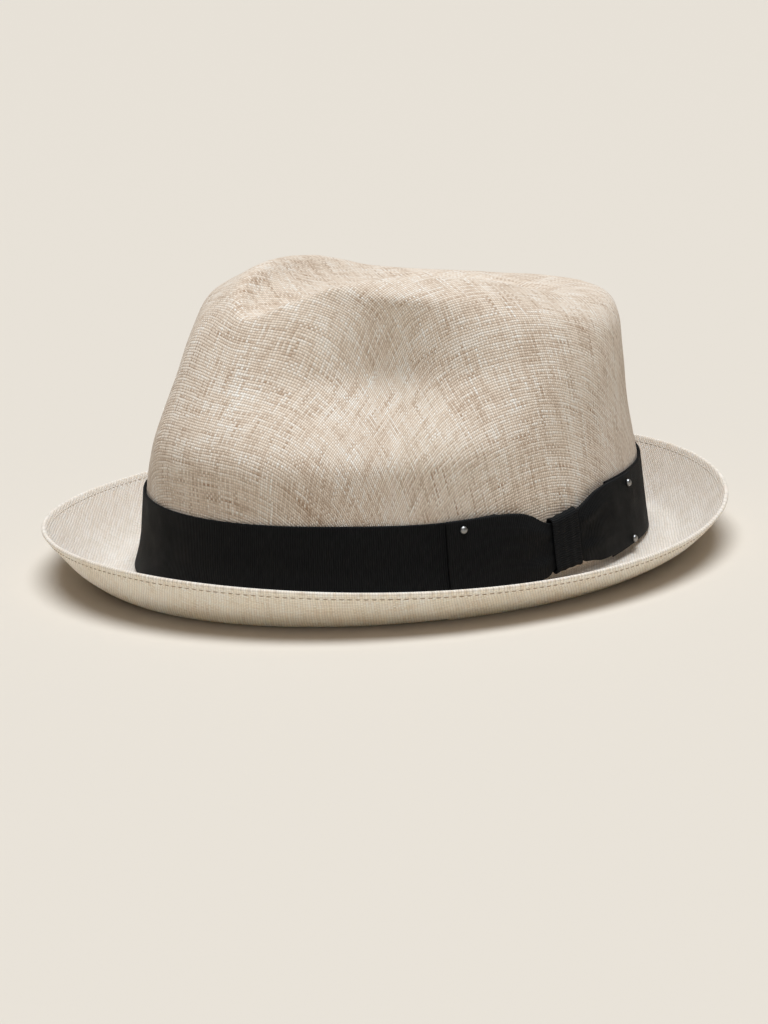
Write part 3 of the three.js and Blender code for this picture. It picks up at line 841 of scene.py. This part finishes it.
def rounded_run(start, end, steps, rounding):
    """Places from one end to the other, with the share of the thickness left where the ends are rounded."""
    turns = np.linspace(math.pi / 2, 0, EDGE_STEPS + 1)[:-1]
    places = np.concatenate([
        start + rounding * (1 - np.sin(turns)),
        np.linspace(start + rounding, end - rounding, steps + 1),
        end - rounding * (1 - np.sin(turns[::-1])),
    ])
    left = np.concatenate([np.cos(turns), np.ones(steps + 1), np.cos(turns[::-1])])
    return places, left


def hump(angle, place, spread):
    """Share of a soft hump round the oval, by its place and spread as lengths along the oval."""
    radius = (CROWN_LENGTH + CROWN_WIDTH) / 4
    away = angle - angle_at(place)
    away = np.arctan2(np.sin(away), np.cos(away))
    return np.exp(-((away * radius / spread) ** 2))


def make_band(material):
    """The ribbon round the crown's foot, open under the bow."""
    start = BOW_CENTRE + BAND_OPENING / 2
    end = OVAL_ROUND + BOW_CENTRE - BAND_OPENING / 2
    share, depth = rounded_section(RIBBON_THICKNESS / 2 / BAND_WIDTH)
    places, left = rounded_run(start, end, RIBBON_AROUND, RIBBON_THICKNESS / 2)
    through = 0.5 + (depth[:, None] - 0.5) * left[None]
    angle = angle_at(places)
    lowest = FOOT_LIFT * hump(angle, BOW_CENTRE + LIFT_PLACE, LIFT_SPREAD)
    highest = BAND_WIDTH - BAND_SINK * hump(angle, BOW_CENTRE + SINK_PLACE, SINK_SPREAD)
    height = lowest + share[:, None] * (highest - lowest)
    points = ribbon_points(angle[None], height, through * RIBBON_THICKNESS)
    faces = grid_faces(*through.shape, close_rows=True)
    cloth = np.stack(np.broadcast_arrays(places[None], height), -1)
    make_piece("band_ribbon", points.reshape(-1, 3), faces, cloth.reshape(-1, 2), material, "band")


BOW_SEAT = RIBBON_THICKNESS + GAP


def bow_row(length):
    """The bow's table at signed lengths from the knot's middle."""
    along = np.clip(np.asarray(length) / WING_LENGTH, -1, 1)
    position = np.interp(along, BOW_ROWS["along"], np.arange(len(BOW_ROWS["along"])))
    return {name: smooth(column, position) for name, column in BOW_ROWS.items()}


def bow_points(length, share, depth):
    """Points of the bow at lengths from the knot's middle, shares of the way up it, and depths through it."""
    row = bow_row(length)
    height = BAND_WIDTH * (row["foot"] + share * (row["head"] - row["foot"]))
    fold = row["pleat"] * np.exp(-(((share - 0.5) / PLEAT_WIDTH) ** 2))
    bulge = WING_PUFF * row["puff"] * (np.sin(math.pi * share) - fold)
    near = np.exp(-(((np.abs(length) - GATHER_PLACE) / GATHER_REACH) ** 2))
    gather = GATHER_DEPTH * near * np.sin(math.pi * share) * np.cos(TURN * GATHER_COUNT * (share - 0.5))
    distance = BOW_SEAT + np.maximum(bulge + gather * (row["puff"] > 0), 0) + depth
    return ribbon_points(angle_at(BOW_CENTRE + length), height, distance)


def make_bow(material):
    """The two wings and the gathered middle between them, as one ribbon."""
    share, depth = rounded_section(WING_THICKNESS / 2 / BAND_WIDTH)
    places, left = rounded_run(-WING_LENGTH, WING_LENGTH, BOW_STEPS, WING_THICKNESS / 2)
    through = (0.5 + (depth[:, None] - 0.5) * left[None]) * WING_THICKNESS
    points = bow_points(places[None], share[:, None], through)
    faces = grid_faces(*through.shape, close_rows=True)
    cloth = np.stack(np.broadcast_arrays(places[None], share[:, None] * BAND_WIDTH), -1)
    make_piece("bow_ribbon", points.reshape(-1, 3), faces, cloth.reshape(-1, 2), material, "bow")


def knot_outline(half_height, half_depth, corner):
    """The knot's outline round the bow, as heights and depths from the bow's middle."""
    outline = []
    straight = half_height - corner
    for side in (1, -1):
        for share in np.linspace(-1, 1, KNOT_SIDE_STEPS + 1):
            outline.append((side * straight * share, side * half_depth))
        for turn in np.linspace(0, math.pi, 2 * KNOT_CORNER_STEPS + 1)[1:-1]:
            outline.append((side * (straight + corner * math.sin(turn)), side * half_depth * math.cos(turn)))
    return np.array(outline)


def make_knot(material):
    """The fluted ribbon that wraps the bow's middle, as tall as the bow is along its width."""
    middle = bow_row(0.0)
    half_height = BAND_WIDTH * (middle["head"] - middle["foot"]) / 2
    centre_depth = BOW_SEAT + WING_THICKNESS / 2
    corner = KNOT_CORNER + GAP
    inside = knot_outline(half_height + corner, WING_THICKNESS / 2 + GAP, corner)
    outside = knot_outline(
        half_height + corner + RIBBON_THICKNESS,
        WING_THICKNESS / 2 + GAP + RIBBON_THICKNESS,
        corner + RIBBON_THICKNESS,
    )
    share, depth = rounded_section(RIBBON_THICKNESS / 2 / KNOT_WIDTH)
    flute = FLUTE_DEPTH * depth * np.sin(math.pi * share) * (np.cos(TURN * FLUTE_COUNT * share) - 1) / 2
    through = (depth + flute)[None, :, None]
    outline = inside[:, None] + (outside - inside)[:, None] * through
    length = (share - 0.5)[None] * KNOT_WIDTH
    row = bow_row(length)
    stretch = np.sign(outline[..., 0]) * (BAND_WIDTH * (row["head"] - row["foot"]) / 2 - half_height)
    height = BAND_WIDTH * (row["head"] + row["foot"]) / 2 + outline[..., 0] + stretch
    points = ribbon_points(angle_at(BOW_CENTRE + length), height, centre_depth + outline[..., 1])
    steps = np.linalg.norm(np.diff(outside, axis=0), axis=1)
    round_it = np.concatenate([[0], np.cumsum(steps)])
    cloth = np.stack(np.broadcast_arrays(round_it[:, None], length), -1)
    faces = grid_faces(*height.shape, close_rows=True, close_columns=True)
    points, cloth = points.reshape(-1, 3), cloth.reshape(-1, 2)
    make_piece("bow_knot_ribbon", points, faces, cloth, material, "bow_knot")


# Studs.
def make_stud(number, length, share, material):
    """A low dome with a thin rim, its flat back just over the wing."""
    turns = np.linspace(0, math.pi / 2, STUD_RINGS)
    radius = np.concatenate([[0.0, 1 - STUD_BEVEL, 1.0], np.cos(turns)]) * STUD_DIAMETER / 2
    dome = STUD_RIM + (STUD_HEIGHT - STUD_RIM) * np.sin(turns)
    height = np.concatenate([[0.0, 0.0, STUD_BEVEL * STUD_DIAMETER], dome])
    seat = bow_points(length, share, WING_THICKNESS)
    along_bow = bow_points(length + MM, share, WING_THICKNESS) - seat
    up_bow = bow_points(length, share + STUD_NUDGE, WING_THICKNESS) - seat
    outward = np.cross(along_bow, up_bow)
    outward /= np.linalg.norm(outward)
    first = along_bow / np.linalg.norm(along_bow)
    second = np.cross(outward, first)
    around = np.arange(STUD_SIDES) / STUD_SIDES * TURN
    ring = np.cos(around)[:, None] * first + np.sin(around)[:, None] * second
    points = seat + outward * (GAP + height)[:, None, None] + radius[:, None, None] * ring[None]
    faces = grid_faces(len(radius), STUD_SIDES, close_columns=True)
    flat = points.reshape(-1, 3)
    make_piece(f"stud_dome_{number}", flat, faces, flat[:, :2], material, f"stud_{number}")


def make_studs(material):
    """Two studs at each wing's end, one near its foot and one near its head."""
    number = 0
    for end in (-1, 1):
        length = end * (WING_LENGTH - STUD_FROM_END)
        row = bow_row(length)
        wing = BAND_WIDTH * (row["head"] - row["foot"])
        for share in (STUD_FROM_FOOT / wing, 1 - STUD_FROM_HEAD / wing):
            number += 1
            make_stud(number, length, share, material)


# Camera: the photograph's own view, from the hat's front left.
CAMERA_AZIMUTH = math.radians(47)
CAMERA_ELEVATION = math.radians(14)
CAMERA_ROLL = math.radians(-2)
CAMERA_DISTANCE = 1.45
PHOTO_WIDTH = 768
PHOTO_HEIGHT = 1024
HAT_PIXEL = (397, 541.5)
METRES_PER_PIXEL = 0.375 * MM


def make_camera():
    """A camera that looks at the hat's origin and shifts the picture to where the photograph has it."""
    sine, cosine = math.sin(CAMERA_AZIMUTH), math.cos(CAMERA_AZIMUTH)
    back = Vector((
        sine * math.cos(CAMERA_ELEVATION),
        -cosine * math.cos(CAMERA_ELEVATION),
        math.sin(CAMERA_ELEVATION),
    ))
    level = Vector((cosine, sine, 0))
    upright = back.cross(level)
    right = level * math.cos(CAMERA_ROLL) + upright * math.sin(CAMERA_ROLL)
    up = upright * math.cos(CAMERA_ROLL) - level * math.sin(CAMERA_ROLL)
    data = bpy.data.cameras.new("camera")
    data.lens = CAMERA_DISTANCE / METRES_PER_PIXEL / PHOTO_HEIGHT * data.sensor_width
    data.shift_x = -(HAT_PIXEL[0] - PHOTO_WIDTH / 2) / PHOTO_HEIGHT
    data.shift_y = (HAT_PIXEL[1] - PHOTO_HEIGHT / 2) / PHOTO_HEIGHT
    camera = bpy.data.objects.new("camera", data)
    place = Matrix((right, up, back)).transposed().to_4x4()
    place.translation = Vector(HAT_ORIGIN) + back * CAMERA_DISTANCE
    camera.matrix_world = place
    bpy.context.scene.collection.objects.link(camera)
    bpy.context.scene.camera = camera


# Studio.
FLOOR_RADIUS = 12
FLOOR_COLOUR = (0.623, 0.570, 0.495)
SKY_COLOUR = (1.0, 0.88, 0.74)
SKY_STRENGTH = 0.16
LAMP_COLOUR = (0.95, 0.995, 1.05)

# Two lamps, one overhead and a faint low one. azimuth is degrees round from the hat's front, elevation is
# degrees over the floor, and width is the lamp's width in degrees as seen from the hat.
LAMP_ROWS = table(
    "strength azimuth elevation width",
    (3.73, 75, 88, 44),
    (0.3, 50, 10, 60),
)

def make_floor():
    """A round floor, so wide that its edge is never seen."""
    bpy.ops.mesh.primitive_circle_add(vertices=FLOOR_SIDES, radius=FLOOR_RADIUS, fill_type="NGON")
    floor = bpy.context.object
    floor.name = "floor"
    floor.data.materials.append(plain("floor", FLOOR_COLOUR, roughness=0.95))


def make_lamp(name, strength, azimuth, elevation, width):
    """A wide, far lamp, which lights the floor evenly."""
    data = bpy.data.lights.new(name, "SUN")
    data.energy = strength
    data.color = LAMP_COLOUR
    data.angle = math.radians(width)
    around, upward = math.radians(azimuth), math.radians(elevation)
    level = math.cos(upward)
    towards = Vector((math.sin(around) * level, -math.cos(around) * level, math.sin(upward)))
    lamp = bpy.data.objects.new(name, data)
    lamp.rotation_euler = towards.to_track_quat("Z", "Y").to_euler()
    bpy.context.scene.collection.objects.link(lamp)


def make_studio():
    """The floor, the two lamps and a dim warm sky."""
    make_floor()
    for name, row in zip(("overhead_lamp", "low_lamp"), table_rows(LAMP_ROWS)):
        make_lamp(name, **row)
    world = bpy.data.worlds.new("studio")
    world.use_nodes = True
    background = world.node_tree.nodes["Background"]
    background.inputs["Color"].default_value = (*SKY_COLOUR, 1)
    background.inputs["Strength"].default_value = SKY_STRENGTH
    bpy.context.scene.world = world
    bpy.context.scene.view_settings.view_transform = "Standard"


crown_cloth = linen(
    "crown_linen",
    shadow=(0.41, 0.28, 0.185),
    middle=(0.745, 0.624, 0.50),
    light=(0.89, 0.85, 0.775),
)
brim_cloth = linen(
    "brim_linen",
    shadow=(0.59, 0.495, 0.39),
    middle=(0.72, 0.634, 0.54),
    light=(0.775, 0.716, 0.645),
    # Painted light on the brim's underside: its downward faces are made lighter.
    under=1.35,
    glow=0.6,
)
ribbon = grosgrain()
brown_thread = plain("brown_thread", (0.46, 0.35, 0.24), roughness=0.8)
pale_thread = plain("pale_thread", (0.66, 0.59, 0.50), roughness=0.8)
steel = plain("dull_steel", (0.34, 0.34, 0.335), roughness=0.36, metallic=1.0, wear=WEAR_DEPTH)

make_crown(crown_cloth)
make_brim(brim_cloth)
make_stitches("hem_stitches", 1, brown_thread)
make_stitches("upper_stitches", 0, pale_thread)
make_band(ribbon)
make_bow(ribbon)
make_knot(ribbon)
make_studs(steel)
make_camera()
make_studio()
